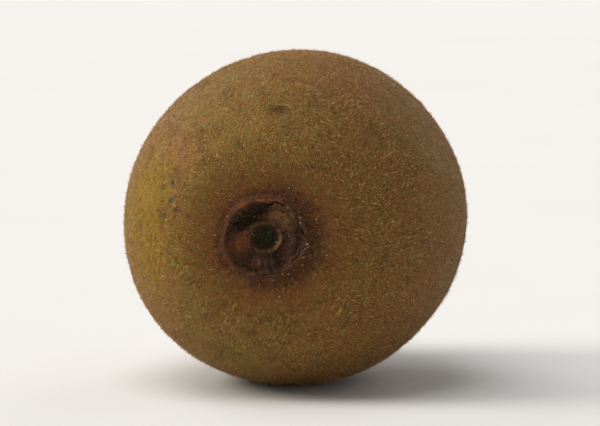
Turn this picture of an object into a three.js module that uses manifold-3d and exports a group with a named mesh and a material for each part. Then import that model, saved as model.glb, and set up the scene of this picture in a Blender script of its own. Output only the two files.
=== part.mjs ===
// Golden kiwifruit lying on its side: one grown, closed body.
//
// Millimetres, +Z up. The long axis runs along Y, with the stem end at -Y and the flower end at +Y.
// The skin is an ovoid turned about Y, made slightly oval and uneven. Its stem end has a sunken corky
// button with a raised lip, the round scar of the stalk and what is left of the sepals. Its flower end
// has a low boss with a puckered pit, and the dried stubs of the styles stand in the pit.
import * as THREE from 'three';
import { mergeVertices } from 'three/addons/utils/BufferGeometryUtils.js';
import Module from 'manifold-3d';

const { cos, sin, asin, exp, hypot, atan2, PI } = Math;
const { degToRad, smoothstep } = THREE.MathUtils;

// ---- Driving dimensions, mm -------------------------------------------------------------------

const OVOID_LENGTH = 65.6; // pole to pole, before the two ends are shaped
const WIDTH = 53.6; // across X
const HEIGHT = 52.9; // across Z
const STEM_FULLNESS = 0.035; // how much fuller the stem half is than the flower half
const BLUNTNESS = 0.13; // how much fuller both ends are than an ellipsoid's
const BOW = 0.5; // how far the middle is bowed towards +X
const REST_DEPTH = 0.35; // height taken off the underside by the flat spot that it rests on

const BODY_RINGS = 28; // between the two shaped ends
const SEGMENTS = 60; // round the long axis
const END_SEGMENTS = [ // fewer round the small rings at both ends
  { below: 1.2, count: 15 },
  { below: 2.2, count: 30 },
];

// Unevenness of the girth: waves round the axis, share of the radius
const GIRTH_WAVES = [
  { count: 2, share: 0.006, phase: -1.2, twist: 0.0 },
  { count: 3, share: 0.0045, phase: 1.1, twist: 0.8 },
  { count: 5, share: 0.003, phase: -0.7, twist: -1.3 },
];

// Stem end: radii from the axis, heights outwards from the ovoid
const STEM = {
  rings: [1.0, 1.6, 2.0, 2.4, 2.8, 3.4, 4.1, 4.8, 5.4, 5.9, 6.3, 6.8, 7.6, 8.8, 10.2, 11.8, 13.6],
  hollow: { depth: 2.5, from: 5.4, to: 16.5 }, // the skin turning in towards the button
  floor: { depth: 1.0, from: 4.7, to: 6.0 }, // the corky floor inside the lip
  lip: { height: 0.8, radius: 6.15, width: 0.5 },
  scarRim: { height: 0.8, radius: 2.4, width: 0.45 },
  scarPit: { depth: 0.9, from: 1.1, to: 2.2 },
  sepal: { height: 0.75, radius: 4.35, width: 0.95, spread: degToRad(25) }, // flat on the floor, dried
  pocket: { depth: 0.8, radius: 4.3, width: 0.95, spread: degToRad(38) }, // where one sepal broke out
};
const SEPAL_COUNT = 5;
const LOST_SEPAL_ANGLE = degToRad(125); // from +X towards +Z
const LIP_WAVES = [ // unevenness of the lip, share of its height
  { count: 3, share: 0.22, phase: 0.6 },
  { count: 8, share: 0.15, phase: 2.0 },
];
const BUTTON_STRAY = [ // how far the button's rings stray from true circles
  { count: 2, reach: 0.2, phase: -0.5 },
  { count: 5, reach: 0.1, phase: 1.3 },
];
const STRAY_REACH = { from: 7, to: 14 }; // the strays fade out beyond the button

// Flower end
const FLOWER = {
  rings: [1.0, 2.0, 2.6, 3.2, 3.9, 4.8, 5.9, 7.3, 9.3],
  boss: { height: 1.3, from: 3.2, to: 8.2 },
  pit: { depth: 1.1, from: 1.4, to: 3.0 },
  pucker: { count: 9, height: 0.14, radius: 4.0, width: 1.3 },
};

// Dried styles: two rings of short stubs that lean outwards
const STYLE_RINGS = [
  { count: 5, radius: 0.8, lean: degToRad(8), height: 2.1 },
  { count: 11, radius: 1.9, lean: degToRad(20), height: 1.8 },
];
const STYLE = { rootWidth: 0.76, tipWidth: 0.62, sides: 5, sink: 0.6, heightSpread: 0.7, leanSpread: 0.14 };
const STYLE_SEED = 7;

const MEAN_RADIUS = (WIDTH + HEIGHT) / 4;
const STEM_END_FULLNESS = 1 + BLUNTNESS + STEM_FULLNESS;
const FLOWER_END_FULLNESS = 1 + BLUNTNESS - STEM_FULLNESS;

const SKIN = new THREE.MeshStandardMaterial({
  name: 'skin', color: new THREE.Color(0x8a6732), roughness: 0.78, metalness: 0,
});

// ---- Small helpers ----------------------------------------------------------------------------

// 1 inside the radius `from`, easing to 0 at the radius `to`.
function inside(radius, { from, to }) {
  return 1 - smoothstep(radius, from, to);
}

// A round-topped ridge of unit height that follows a circle.
function ridge(radius, { radius: crest, width }) {
  return exp(-(((radius - crest) / width) ** 2));
}

// 1 round the angle `centre`, flat on top, falling to 0 on both sides at about `spread`.
function sector(angle, centre, spread) {
  const off = atan2(sin(angle - centre), cos(angle - centre));
  return exp(-((off / spread) ** 4));
}

// How much of a sepal lies at the angle: four of the five are left, evenly spread from the lost one.
function sepalsAt(angle) {
  let sum = 0;
  for (let i = 1; i < SEPAL_COUNT; i += 1) {
    sum += sector(angle, LOST_SEPAL_ANGLE + (i * 2 * PI) / SEPAL_COUNT, STEM.sepal.spread);
  }
  return sum;
}

// A repeatable draw between 0 and 1 (mulberry32).
function seededRandom(seed) {
  let state = seed;
  return () => {
    state = (state + 0x6d2b79f5) | 0;
    let mixed = Math.imul(state ^ (state >>> 15), 1 | state);
    mixed = (mixed + Math.imul(mixed ^ (mixed >>> 7), 61 | mixed)) ^ mixed;
    return ((mixed ^ (mixed >>> 14)) >>> 0) / 4294967296;
  };
}

// ---- Skin -------------------------------------------------------------------------------------

// Radius of the ovoid at the polar angle t, which is 0 at the stem pole and PI at the flower pole.
function ovoidRadius(t) {
  return MEAN_RADIUS * sin(t) * (1 + STEM_FULLNESS * cos(t) + BLUNTNESS * cos(t) ** 2);
}

// Polar angles of the rings: close together in the two shaped ends, even between them.
function ringAngles() {
  const stem = STEM.rings.map((radius) => asin(radius / (MEAN_RADIUS * STEM_END_FULLNESS)));
  const flower = FLOWER.rings.map((radius) => PI - asin(radius / (MEAN_RADIUS * FLOWER_END_FULLNESS)));
  const first = stem.at(-1);
  const step = (flower.at(-1) - first) / (BODY_RINGS + 1);
  const body = Array.from({ length: BODY_RINGS }, (_, i) => first + (i + 1) * step);
  return [...stem, ...body, ...flower.reverse()];
}

// Height of the stem end above the ovoid: hollow, floor, lip, scar, sepals and the pocket.
function stemRelief(radius, angle) {
  const ragged = LIP_WAVES.reduce((sum, wave) => sum + wave.share * cos(wave.count * angle + wave.phase), 1);
  const lost = sector(angle, LOST_SEPAL_ANGLE, STEM.pocket.spread);
  return (
    -STEM.hollow.depth * inside(radius, STEM.hollow) -
    STEM.floor.depth * inside(radius, STEM.floor) +
    STEM.lip.height * ridge(radius, STEM.lip) * ragged +
    STEM.scarRim.height * ridge(radius, STEM.scarRim) -
    STEM.scarPit.depth * inside(radius, STEM.scarPit) +
    STEM.sepal.height * ridge(radius, STEM.sepal) * sepalsAt(angle) -
    STEM.pocket.depth * ridge(radius, STEM.pocket) * lost
  );
}

// Height of the flower end above the ovoid: boss, pit and the puckers round the pit.
function flowerRelief(radius, angle) {
  const { boss, pit, pucker } = FLOWER;
  return (
    boss.height * inside(radius, boss) -
    pit.depth * inside(radius, pit) +
    pucker.height * ridge(radius, pucker) * cos(pucker.count * angle)
  );
}

// How much further from the axis a ring of the button lies at the angle than a true circle.
function buttonStray(radius, angle) {
  const stray = BUTTON_STRAY.reduce(
    (sum, wave) => sum + wave.reach * cos(wave.count * angle + wave.phase),
    0,
  );
  return stray * smoothstep(radius, 0, STEM.lip.radius) * inside(radius, STRAY_REACH);
}

// The girth at the angle and the place along the axis, as a share of the ovoid's.
function girthShare(angle, along) {
  return GIRTH_WAVES.reduce(
    (sum, wave) => sum + wave.share * cos(wave.count * angle + wave.phase + wave.twist * along),
    1,
  );
}

// Moves a point of the plain turned ovoid to the fruit's own surface.
function shapeSkin(point) {
  const radius = hypot(point.x, point.z);
  const angle = atan2(point.z, point.x);
  const along = point.y / (OVOID_LENGTH / 2);
  const isStemHalf = along < 0;
  const relief = isStemHalf ? -stemRelief(radius, angle) : flowerRelief(radius, angle);
  const stray = isStemHalf ? buttonStray(radius, angle) : 0;
  const reach = ((radius + stray) * girthShare(angle, along)) / (2 * MEAN_RADIUS);
  return new THREE.Vector3(
    WIDTH * reach * cos(angle) + BOW * (1 - along ** 2),
    point.y + relief,
    HEIGHT * reach * sin(angle),
  );
}

// The vertices of one ring of the fruit's surface.
function ringPoints(t) {
  const radius = ovoidRadius(t);
  const count = END_SEGMENTS.find((end) => radius < end.below)?.count ?? SEGMENTS;
  return Array.from({ length: count }, (_, i) => {
    const angle = (i * 2 * PI) / count;
    const y = (-OVOID_LENGTH / 2) * cos(t);
    return shapeSkin(new THREE.Vector3(radius * cos(angle), y, radius * sin(angle)));
  });
}

// Triangles between two closed rings of vertex numbers, which may differ in count.
function zipRings(near, far) {
  const triangles = [];
  let i = 0;
  let j = 0;
  while (i < near.length || j < far.length) {
    const a = near[i % near.length];
    const b = far[j % far.length];
    if (j === far.length || (i + 1) / near.length <= (j + 1) / far.length) {
      i += 1;
      triangles.push(a, b, near[i % near.length]);
    } else {
      j += 1;
      triangles.push(a, b, far[j % far.length]);
    }
  }
  return triangles;
}

// The whole skin: a pole, the rings from the stem end to the flower end, and the other pole.
function skinGeometry() {
  const pole = (side) => [shapeSkin(new THREE.Vector3(0, (side * OVOID_LENGTH) / 2, 0))];
  const rings = [pole(-1), ...ringAngles().map(ringPoints), pole(1)];
  let next = 0;
  const numbered = rings.map((ring) => ring.map(() => next++));
  const index = numbered.slice(1).flatMap((far, k) => {
    const near = numbered[k];
    if (near.length === 1) return far.flatMap((v, i) => [near[0], v, far[(i + 1) % far.length]]);
    if (far.length === 1) return near.flatMap((v, i) => [far[0], near[(i + 1) % near.length], v]);
    return zipRings(near, far);
  });
  const geometry = new THREE.BufferGeometry().setFromPoints(rings.flat());
  return geometry.setIndex(index);
}

// ---- Dried styles -------------------------------------------------------------------------------

// The point of the flower end's surface at a radius and an angle.
function flowerPoint(radius, angle) {
  const y = (OVOID_LENGTH / 2) * cos(asin(radius / (MEAN_RADIUS * FLOWER_END_FULLNESS)));
  return shapeSkin(new THREE.Vector3(radius * cos(angle), y, radius * sin(angle)));
}

// One tapered stub along +Y, with its root at the origin.
function styleGeometry(height) {
  const { rootWidth, tipWidth, sides, sink } = STYLE;
  const stub = new THREE.CylinderGeometry(tipWidth / 2, rootWidth / 2, height + sink, sides, 1);
  return stub.translate(0, (height + sink) / 2 - sink, 0);
}

// Two rings of style stubs in the pit of the flower end.
function styles() {
  const random = seededRandom(STYLE_SEED);
  const spreadOf = (range) => (random() - 0.5) * range;
  return STYLE_RINGS.flatMap(({ count, radius, lean, height }) =>
    Array.from({ length: count }, (_, i) => {
      const angle = ((i + 0.5 * random()) * 2 * PI) / count;
      const stub = styleGeometry(height + spreadOf(STYLE.heightSpread));
      stub.rotateZ(-lean - spreadOf(STYLE.leanSpread)).rotateY(-angle);
      const root = flowerPoint(radius, angle);
      return stub.translate(root.x, root.y, root.z);
    }),
  );
}

// ---- Joining ----------------------------------------------------------------------------------

// Keeps only the positions, merges shared vertices and drops triangles that closed up.
function welded(geometry) {
  geometry.deleteAttribute('normal');
  geometry.deleteAttribute('uv');
  const merged = mergeVertices(geometry, 1e-4);
  const index = Array.from(merged.index.array);
  const kept = [];
  for (let i = 0; i < index.length; i += 3) {
    const [a, b, c] = index.slice(i, i + 3);
    if (a !== b && b !== c && c !== a) kept.push(a, b, c);
  }
  merged.setIndex(kept);
  return merged;
}

const wasm = await Module();
wasm.setup();

// A closed three.js geometry as a manifold solid.
function toSolid(geometry) {
  const mesh = welded(geometry);
  return new wasm.Manifold(
    new wasm.Mesh({
      numProp: 3,
      vertProperties: new Float32Array(mesh.getAttribute('position').array),
      triVerts: new Uint32Array(mesh.index.array),
    }),
  );
}

// A manifold solid as a three.js geometry.
function toGeometry(solid) {
  const mesh = solid.getMesh();
  const geometry = new THREE.BufferGeometry();
  geometry.setAttribute('position', new THREE.BufferAttribute(new Float32Array(mesh.vertProperties), 3));
  geometry.setIndex(new THREE.BufferAttribute(new Uint32Array(mesh.triVerts), 1));
  return geometry;
}

// Takes the flat rest spot off the lowest part of the underside.
function withRestSpot(solid, lowest) {
  const block = new THREE.BoxGeometry(WIDTH, WIDTH, WIDTH);
  block.translate(0, 0, lowest + REST_DEPTH - WIDTH / 2);
  return solid.subtract(toSolid(block));
}

// Moves the geometry so that the bottom centre of its box is the origin.
function restedAtOrigin(geometry) {
  geometry.computeBoundingBox();
  const { min, max } = geometry.boundingBox;
  return geometry.translate(-(min.x + max.x) / 2, -(min.y + max.y) / 2, -min.z);
}

// The whole fruit: skin and styles as one solid, resting on its flat spot.
function kiwifruit() {
  const skin = skinGeometry();
  skin.computeBoundingBox();
  const grown = styles().reduce((solid, stub) => solid.add(toSolid(stub)), toSolid(skin));
  const geometry = restedAtOrigin(toGeometry(withRestSpot(grown, skin.boundingBox.min.z)));
  geometry.computeVertexNormals();
  const mesh = new THREE.Mesh(geometry, SKIN);
  mesh.name = 'kiwifruit';
  return mesh;
}

const fruit = new THREE.Group();
fruit.add(kiwifruit());

export default fruit;
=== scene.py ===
"""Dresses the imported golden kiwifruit: fine skin, fuzz, stem button, dried styles and a plain studio.

The fruit lies along Y with its stem end at -Y. Shapes are worked out in millimetres and become metres
where a mesh is made, and the skin's patterns are laid out in millimetres too.
"""

import logging
import math
from collections.abc import Callable, Sequence
from dataclasses import dataclass, field, replace
from enum import Enum

import bpy
import numpy as np
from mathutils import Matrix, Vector


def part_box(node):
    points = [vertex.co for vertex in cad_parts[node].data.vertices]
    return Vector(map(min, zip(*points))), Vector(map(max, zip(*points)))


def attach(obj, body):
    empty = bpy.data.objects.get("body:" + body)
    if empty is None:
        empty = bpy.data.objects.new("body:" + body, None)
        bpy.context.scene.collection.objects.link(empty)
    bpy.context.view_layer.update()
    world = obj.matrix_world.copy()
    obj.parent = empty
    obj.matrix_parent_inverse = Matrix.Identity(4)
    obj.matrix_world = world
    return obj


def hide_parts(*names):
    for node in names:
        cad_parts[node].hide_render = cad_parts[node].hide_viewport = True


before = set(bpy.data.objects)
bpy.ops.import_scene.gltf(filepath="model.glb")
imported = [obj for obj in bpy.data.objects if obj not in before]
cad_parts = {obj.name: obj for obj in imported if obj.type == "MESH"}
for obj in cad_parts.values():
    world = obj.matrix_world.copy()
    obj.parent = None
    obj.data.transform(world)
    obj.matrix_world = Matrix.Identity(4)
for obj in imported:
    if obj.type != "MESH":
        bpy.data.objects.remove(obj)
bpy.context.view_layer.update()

LOG = logging.getLogger("kiwifruit")
NODE = "kiwifruit"
BODY = "root"
MM = 0.001  # metres in a millimetre
TAU = 2 * math.pi
WORD = 0xFFFFFFFF  # the low 32 bits, to which mixed integers are cut

Span = tuple[float, float]
Band = tuple[float, float, float]
Place = tuple[float, float, float]


# ---- Numbers and noise --------------------------------------------------------------------------


def smooth(value: np.ndarray, start: float, end: float) -> np.ndarray:
    """Eases from 0 at start to 1 at end: 3u^2 - 2u^3 of the clipped share u of the way.

    Args:
        value: The numbers to ease.
        start: Where the step begins.
        end: Where the step is done.

    Returns:
        An array like value, from 0 to 1.
    """
    share = np.clip((value - start) / (end - start), 0.0, 1.0)
    return share * share * (3.0 - 2.0 * share)


# What lattice mixes with: a shift that makes the indices positive, and large odd factors
INDEX_SHIFT = 4096
INDEX_FACTORS = (374761393, 668265263, 1442695041)
SEED_FACTOR = 97531
MIXED_FACTOR = 1274126177


def lattice(cells: np.ndarray, seed: int) -> np.ndarray:
    """A repeatable number from -1 to 1 for each cell: its three indices and the seed, mixed as integers.

    Args:
        cells: Whole-number cells, shape (..., 3).
        seed: Another seed gives another pattern.

    Returns:
        One number for each cell, shape (...).
    """
    indices = cells.astype(np.int64) + INDEX_SHIFT
    mixed = (indices @ INDEX_FACTORS + seed * SEED_FACTOR) & WORD
    mixed = ((mixed ^ (mixed >> 13)) * MIXED_FACTOR) & WORD
    mixed ^= mixed >> 16
    return mixed / (WORD // 2) - 1.0


def noise(points: np.ndarray, size: float, seed: int, octaves: int = 1) -> np.ndarray:
    """Smooth 3-D noise: lattice values blended between the eight corners of each point's cell.

    Args:
        points: Places in millimetres, shape (..., 3).
        size: Width of one cell of the first octave, in millimetres.
        seed: Another seed gives another pattern.
        octaves: Each further octave has half the size and half the height.

    Returns:
        Values from about -1 to 1, shape (...).
    """
    total = np.zeros(points.shape[:-1])
    for octave in range(octaves):
        scaled = points * (2.0**octave / size)
        base = np.floor(scaled)
        ease = smooth(scaled - base, 0.0, 1.0)
        for corner in np.ndindex(2, 2, 2):
            weight = np.prod(np.where(np.array(corner) == 1, ease, 1.0 - ease), axis=-1)
            total += 0.5**octave * weight * lattice(base + corner, seed + octave)
    return total


@dataclass(frozen=True)
class Lumps:
    """Noise of a height in cells of a size in millimetres, with its seed and its octaves.

    The height may be a relief's, in millimetres, or an angle or a plain number.
    """

    height: float
    size: float
    seed: int
    octaves: int = 1

    def at(self, points: np.ndarray) -> np.ndarray:
        """The noise at each place."""
        return self.height * noise(points, self.size, self.seed, self.octaves)

    def sown(self, seed: int) -> "Lumps":
        """The same kind of noise in another pattern, whose seed is this one's and the given one added."""
        return replace(self, seed=self.seed + seed)


LEAST_LENGTH = 1e-12


def unit(vectors: np.ndarray) -> np.ndarray:
    """The vectors divided by their lengths, or by the least length where they have almost none."""
    return vectors / np.maximum(np.linalg.norm(vectors, axis=-1, keepdims=True), LEAST_LENGTH)


STATE_STEP = 0x6D2B79F5  # by which the state of repeatable_draws goes up


def repeatable_draws(seed: int) -> Callable[[], float]:
    """A source of repeatable numbers from 0 to 1, the same stream that places the CAD's styles.

    Args:
        seed: Start of the stream.

    Returns:
        A function that gives the next number.
    """
    state = seed

    def draw() -> float:
        """The next number, by the rule called mulberry32: the state steps up and its bits are mixed.

        Returns:
            A number from 0 up to 1.
        """
        nonlocal state
        state = (state + STATE_STEP) & WORD
        mixed = ((state ^ (state >> 15)) * (1 | state)) & WORD
        again = ((mixed ^ (mixed >> 7)) * (61 | mixed)) & WORD
        mixed = ((mixed + again) ^ mixed) & WORD
        return (mixed ^ (mixed >> 14)) / (WORD + 1)

    return draw


# ---- Mesh making --------------------------------------------------------------------------------


def make_mesh(name: str, points: np.ndarray, faces: Sequence[np.ndarray]) -> bpy.types.Object:
    """Puts points and faces into a new smooth-shaded mesh object at the origin.

    Args:
        name: The piece's name.
        points: Vertices in millimetres, shape (n, 3).
        faces: Arrays of vertex numbers, one for each face size, shape (m, corners).

    Returns:
        The new object, linked to the scene.
    """
    corners = np.concatenate([block.ravel() for block in faces]).astype(np.int32)
    sizes = np.concatenate([np.full(len(block), block.shape[1]) for block in faces])
    starts = (np.cumsum(sizes) - sizes).astype(np.int32)
    mesh = bpy.data.meshes.new(name)
    mesh.vertices.add(len(points))
    mesh.vertices.foreach_set("co", (points * MM).astype(np.float32).ravel())
    mesh.loops.add(len(corners))
    mesh.loops.foreach_set("vertex_index", corners)
    mesh.polygons.add(len(sizes))
    mesh.polygons.foreach_set("loop_start", starts)
    mesh.polygons.foreach_set("use_smooth", np.ones(len(sizes), bool))
    mesh.update(calc_edges=True)
    piece = bpy.data.objects.new(name, mesh)
    bpy.context.collection.objects.link(piece)
    return piece


def ring_faces(rings: int, sides: int) -> list[np.ndarray]:
    """Quads between the rings of a round grid, and fans that close its first and its last ring.

    The grid's points are numbered ring by ring. The middle of the first fan is numbered after them,
    and the middle of the last fan after that.

    Args:
        rings: How many rings there are.
        sides: Points in each ring.

    Returns:
        The quads, the triangles of the first fan and those of the last.
    """
    side = np.arange(sides)
    after = (side + 1) % sides
    low = np.arange(rings - 1)[:, None] * sides
    quads = np.stack([low + side, low + sides + side, low + sides + after, low + after], axis=-1)
    middle, last = np.full(sides, rings * sides), (rings - 1) * sides
    first_fan = np.stack([middle, side, after], axis=-1)
    last_fan = np.stack([middle + 1, last + after, last + side], axis=-1)
    return [quads.reshape(-1, 4), first_fan, last_fan]


STEEP = 0.9  # the Z of a path's direction from which its rings are turned by X instead of Z


def tapered_tubes(
    paths: np.ndarray, radii: np.ndarray, sides: int, pointed: bool
) -> tuple[np.ndarray, list[np.ndarray]]:
    """Closed tubes along many short paths: at each path point a ring of that radius, square to the path.

    Args:
        paths: Path points, shape (tubes, levels, 3).
        radii: Radius at each level, shape (tubes, levels).
        sides: Corners of each ring.
        pointed: Whether the last level is a single point.

    Returns:
        Vertices, shape (n, 3), and the faces in blocks of one size.
    """
    count, levels = radii.shape
    rings = levels - 1 if pointed else levels
    along = unit(np.gradient(paths, axis=1))
    helper = np.where(np.abs(along[:, :1, 2:]) < STEEP, [0.0, 0.0, 1.0], [1.0, 0.0, 0.0])
    across = unit(np.cross(along, helper))
    upward = np.cross(along, across)
    turn = np.arange(sides) * TAU / sides
    offset = across[:, :, None] * np.cos(turn)[:, None] + upward[:, :, None] * np.sin(turn)[:, None]
    ring_points = paths[:, :, None] + offset * radii[:, :, None, None]
    body = ring_points[:, :rings].reshape(count, rings * sides, 3)
    if pointed:
        body = np.concatenate([body, paths[:, -1:]], axis=1)
    each = body.shape[1]
    side = np.arange(sides)
    after = (side + 1) % sides
    low = np.arange(rings - 1)[:, None] * sides
    quads = np.stack([low + side, low + after, low + sides + after, low + sides + side], axis=-1)
    last = (rings - 1) * sides
    tip = np.stack([last + side, last + after, np.full(sides, each - 1)], axis=-1)
    blocks = [quads.reshape(-1, 4), side[::-1][None], tip if pointed else (last + side)[None]]
    starts = np.arange(count)[:, None, None] * each
    faces = [(block[None] + starts).reshape(-1, block.shape[1]) for block in blocks]
    return body.reshape(-1, 3), faces


def closed_sheet(top: np.ndarray, under: np.ndarray) -> tuple[np.ndarray, list[np.ndarray]]:
    """A thin closed sheet between two grids: both faces and a strip round the rim.

    Args:
        top: Points of the upper face, shape (rows, columns, 3).
        under: Points of the lower face, the same shape.

    Returns:
        Vertices, shape (n, 3), and the faces in blocks of one size.
    """
    rows, columns = top.shape[:2]
    number = np.arange(rows * columns).reshape(rows, columns)
    upper = np.stack([number[:-1, :-1], number[1:, :-1], number[1:, 1:], number[:-1, 1:]], axis=-1)
    lower = upper[..., ::-1] + number.size
    rim = np.concatenate([number[0, :-1], number[:-1, -1], number[-1, :0:-1], number[:0:-1, 0]])
    after = np.roll(rim, -1)
    strip = np.stack([rim, after, after + number.size, rim + number.size], axis=-1)
    points = np.concatenate([top.reshape(-1, 3), under.reshape(-1, 3)])
    return points, [upper.reshape(-1, 4), lower.reshape(-1, 4), strip]


def hold(piece: bpy.types.Object, name: str, values: np.ndarray) -> None:
    """Stores a number or a vector for each vertex in the piece's mesh.

    Args:
        piece: The piece, whose vertices are in the order of the values.
        name: The attribute's name.
        values: Shape (n,) for numbers or (n, 3) for vectors.
    """
    kind, key = ("FLOAT", "value") if values.ndim == 1 else ("FLOAT_VECTOR", "vector")
    attribute = piece.data.attributes.new(name, kind, "POINT")
    attribute.data.foreach_set(key, values.astype(np.float32).ravel())


# ---- Shader expressions -------------------------------------------------------------------------


class Expression:
    """A shader socket that can be written in arithmetic; each operation adds a Math node."""

    def __init__(self, graph: "Graph", socket: bpy.types.NodeSocket) -> None:
        """Wraps one output socket of the graph."""
        self.graph = graph
        self.socket = socket

    def __add__(self, other: "Number") -> "Expression":
        """self + other."""
        return self.graph.math("ADD", self, other)

    __radd__ = __add__

    def __sub__(self, other: "Number") -> "Expression":
        """self - other."""
        return self.graph.math("SUBTRACT", self, other)

    def __rsub__(self, other: "Number") -> "Expression":
        """other - self."""
        return self.graph.math("SUBTRACT", other, self)

    def __mul__(self, other: "Number") -> "Expression":
        """self * other."""
        return self.graph.math("MULTIPLY", self, other)

    __rmul__ = __mul__


Number = Expression | float
Colour = tuple[float, float, float, float]
Coat = tuple[Number, str]

# Sockets of a Mix node that mixes colours: its inputs, and its output
MIX_SHARE, MIX_BELOW, MIX_ABOVE = 0, 6, 7
MIX_RESULT = 2


def linear(code: str) -> Colour:
    """The linear colour of a hex code such as #8a6a30, by the usual display curve.

    Args:
        code: Six hex digits after a hash sign.

    Returns:
        Linear red, green and blue, and an alpha of 1.
    """
    shares = (int(code[i : i + 2], 16) / 255 for i in (1, 3, 5))
    red, green, blue = (s / 12.92 if s <= 0.04045 else ((s + 0.055) / 1.055) ** 2.4 for s in shares)
    return red, green, blue, 1.0


class Graph:
    """A material's nodes, built up by expressions on the piece's own place in millimetres."""

    def __init__(self, name: str) -> None:
        """Makes a node material with its Principled shader and output.

        Args:
            name: The material's name.
        """
        self.material = bpy.data.materials.new(name)
        self.material.use_nodes = True
        self.nodes = self.material.node_tree.nodes
        self.links = self.material.node_tree.links
        self.shader = self.nodes["Principled BSDF"]

    def node(
        self,
        kind: str,
        settings: dict[str, object] | None = None,
        inputs: dict[str | int, object] | None = None,
    ) -> bpy.types.Node:
        """Adds any node.

        Args:
            kind: The node's type, such as ShaderNodeTexNoise.
            settings: Properties to set first, such as a Math node's operation.
            inputs: Values or expressions for sockets, by name or number.

        Returns:
            The new node.
        """
        made = self.nodes.new(kind)
        for key, value in (settings or {}).items():
            setattr(made, key, value)
        for key, value in (inputs or {}).items():
            self.feed(made.inputs[key], value)
        return made

    def feed(self, socket: bpy.types.NodeSocket, value: object) -> None:
        """Links an expression to a socket, or sets a plain value on it.

        Args:
            socket: The input socket.
            value: An expression, or what the socket holds by itself.
        """
        if isinstance(value, Expression):
            self.links.new(value.socket, socket)
        else:
            socket.default_value = value

    def math(self, operation: str, first: Number, second: Number) -> Expression:
        """One Math node on two numbers."""
        made = self.node("ShaderNodeMath", {"operation": operation}, {0: first, 1: second})
        return Expression(self, made.outputs[0])

    def place(
        self, centre: Place = (0, 0, 0), cell: Place = (1, 1, 1), turn: Place = (0, 0, 0)
    ) -> Expression:
        """The piece's own coordinates, measured in millimetres from a centre.

        Args:
            centre: The point that becomes the pattern's zero, in millimetres.
            cell: Millimetres that count as 1 along each axis; a large one draws the pattern out.
            turn: Angles about X, Y and Z by which the pattern's axes are turned.

        Returns:
            The vector to feed to textures.
        """
        coordinates = Expression(self, self.node("ShaderNodeTexCoord").outputs["Object"])
        metres = {"Location": [c * MM for c in centre], "Scale": [c * MM for c in cell]}
        inputs = {"Vector": coordinates, "Rotation": turn, **metres}
        made = self.node("ShaderNodeMapping", {"vector_type": "TEXTURE"}, inputs)
        return Expression(self, made.outputs[0])

    def attribute(self, name: str, output: str = "Fac") -> Expression:
        """What the mesh holds at each vertex: a number, or a vector where the output is Vector."""
        made = self.node("ShaderNodeAttribute", {"attribute_name": name})
        return Expression(self, made.outputs[output])

    def axis(self, vector: Expression, letter: str) -> Expression:
        """One coordinate of a vector, by its letter X, Y or Z."""
        return Expression(self, self.node("ShaderNodeSeparateXYZ", None, {0: vector}).outputs[letter])

    def distance(self, vector: Expression) -> Expression:
        """The length of a vector."""
        made = self.node("ShaderNodeVectorMath", {"operation": "LENGTH"}, {0: vector})
        return Expression(self, made.outputs["Value"])

    def step(self, value: Expression, start: float, end: float) -> Expression:
        """Eases from 0 to 1 on the way from start to end, whichever of the two is the larger.

        Args:
            value: The number that steps.
            start: Where the step is still 0.
            end: Where it has reached 1.

        Returns:
            The eased share.
        """
        low, high, first, last = (start, end, 0.0, 1.0) if start < end else (end, start, 1.0, 0.0)
        inputs = {"Value": value, "From Min": low, "From Max": high, "To Min": first, "To Max": last}
        made = self.node("ShaderNodeMapRange", {"interpolation_type": "SMOOTHSTEP"}, inputs)
        return Expression(self, made.outputs[0])

    def band(self, value: Expression, start: float, end: float, edge: float) -> Expression:
        """1 between start and end, easing to 0 over edge on both sides."""
        return self.step(value, start - edge, start) * self.step(value, end + edge, end)

    def grain(self, vector: Expression, size: float, detail: float = 2.0, rough: float = 0.5) -> Expression:
        """Noise around 0.5.

        Args:
            vector: The place to take it at.
            size: About how large the features are, in the place's units.
            detail: How many finer layers are added.
            rough: How strong each finer layer is.

        Returns:
            The noise.
        """
        inputs = {"Vector": vector, "Scale": 1.0 / size, "Detail": detail, "Roughness": rough}
        return Expression(self, self.node("ShaderNodeTexNoise", None, inputs).outputs[0])

    def raggedness(self, vector: Expression) -> Expression:
        """Noise around 0 in features of about a millimetre, which breaks the outlines of stains and rings."""
        return self.grain(vector, 1.1, 3.0) - 0.5

    def cells(self, vector: Expression, size: float) -> tuple[Expression, Expression]:
        """Scattered cells round random points.

        Args:
            vector: The place to take them at.
            size: Width of a cell, in the place's units.

        Returns:
            The distance to the nearest point, in cells, and a random number for each cell.
        """
        made = self.node("ShaderNodeTexVoronoi", None, {"Vector": vector, "Scale": 1.0 / size})
        off, tone = (Expression(self, made.outputs[name]) for name in ("Distance", "Color"))
        return off, self.axis(tone, "X")

    def blend(self, share: Number, below: Expression | Colour, above: Expression | Colour) -> Expression:
        """A colour that goes from one to another.

        Args:
            share: How far it has gone, from 0 to 1.
            below: The colour at 0.
            above: The colour at 1.

        Returns:
            The colour between them.
        """
        inputs = {MIX_SHARE: share, MIX_BELOW: below, MIX_ABOVE: above}
        made = self.node("ShaderNodeMix", {"data_type": "RGBA"}, inputs)
        return Expression(self, made.outputs[MIX_RESULT])

    def paint(self, tint: Expression | Colour, *coats: Coat) -> Expression:
        """Lays coats of colour over a tint, each over the ones before it.

        Args:
            tint: The colour below.
            coats: The share that each coat covers, and its hex code.

        Returns:
            The colour on top.
        """
        for share, code in coats:
            tint = self.blend(share, tint, linear(code))
        return tint

    def bump(self, height: Expression, reach: float) -> Expression:
        """A normal that tilts with height, where a height of 1 stands for reach millimetres."""
        made = self.node("ShaderNodeBump", None, {"Height": height, "Distance": reach * MM})
        return Expression(self, made.outputs[0])

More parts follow.
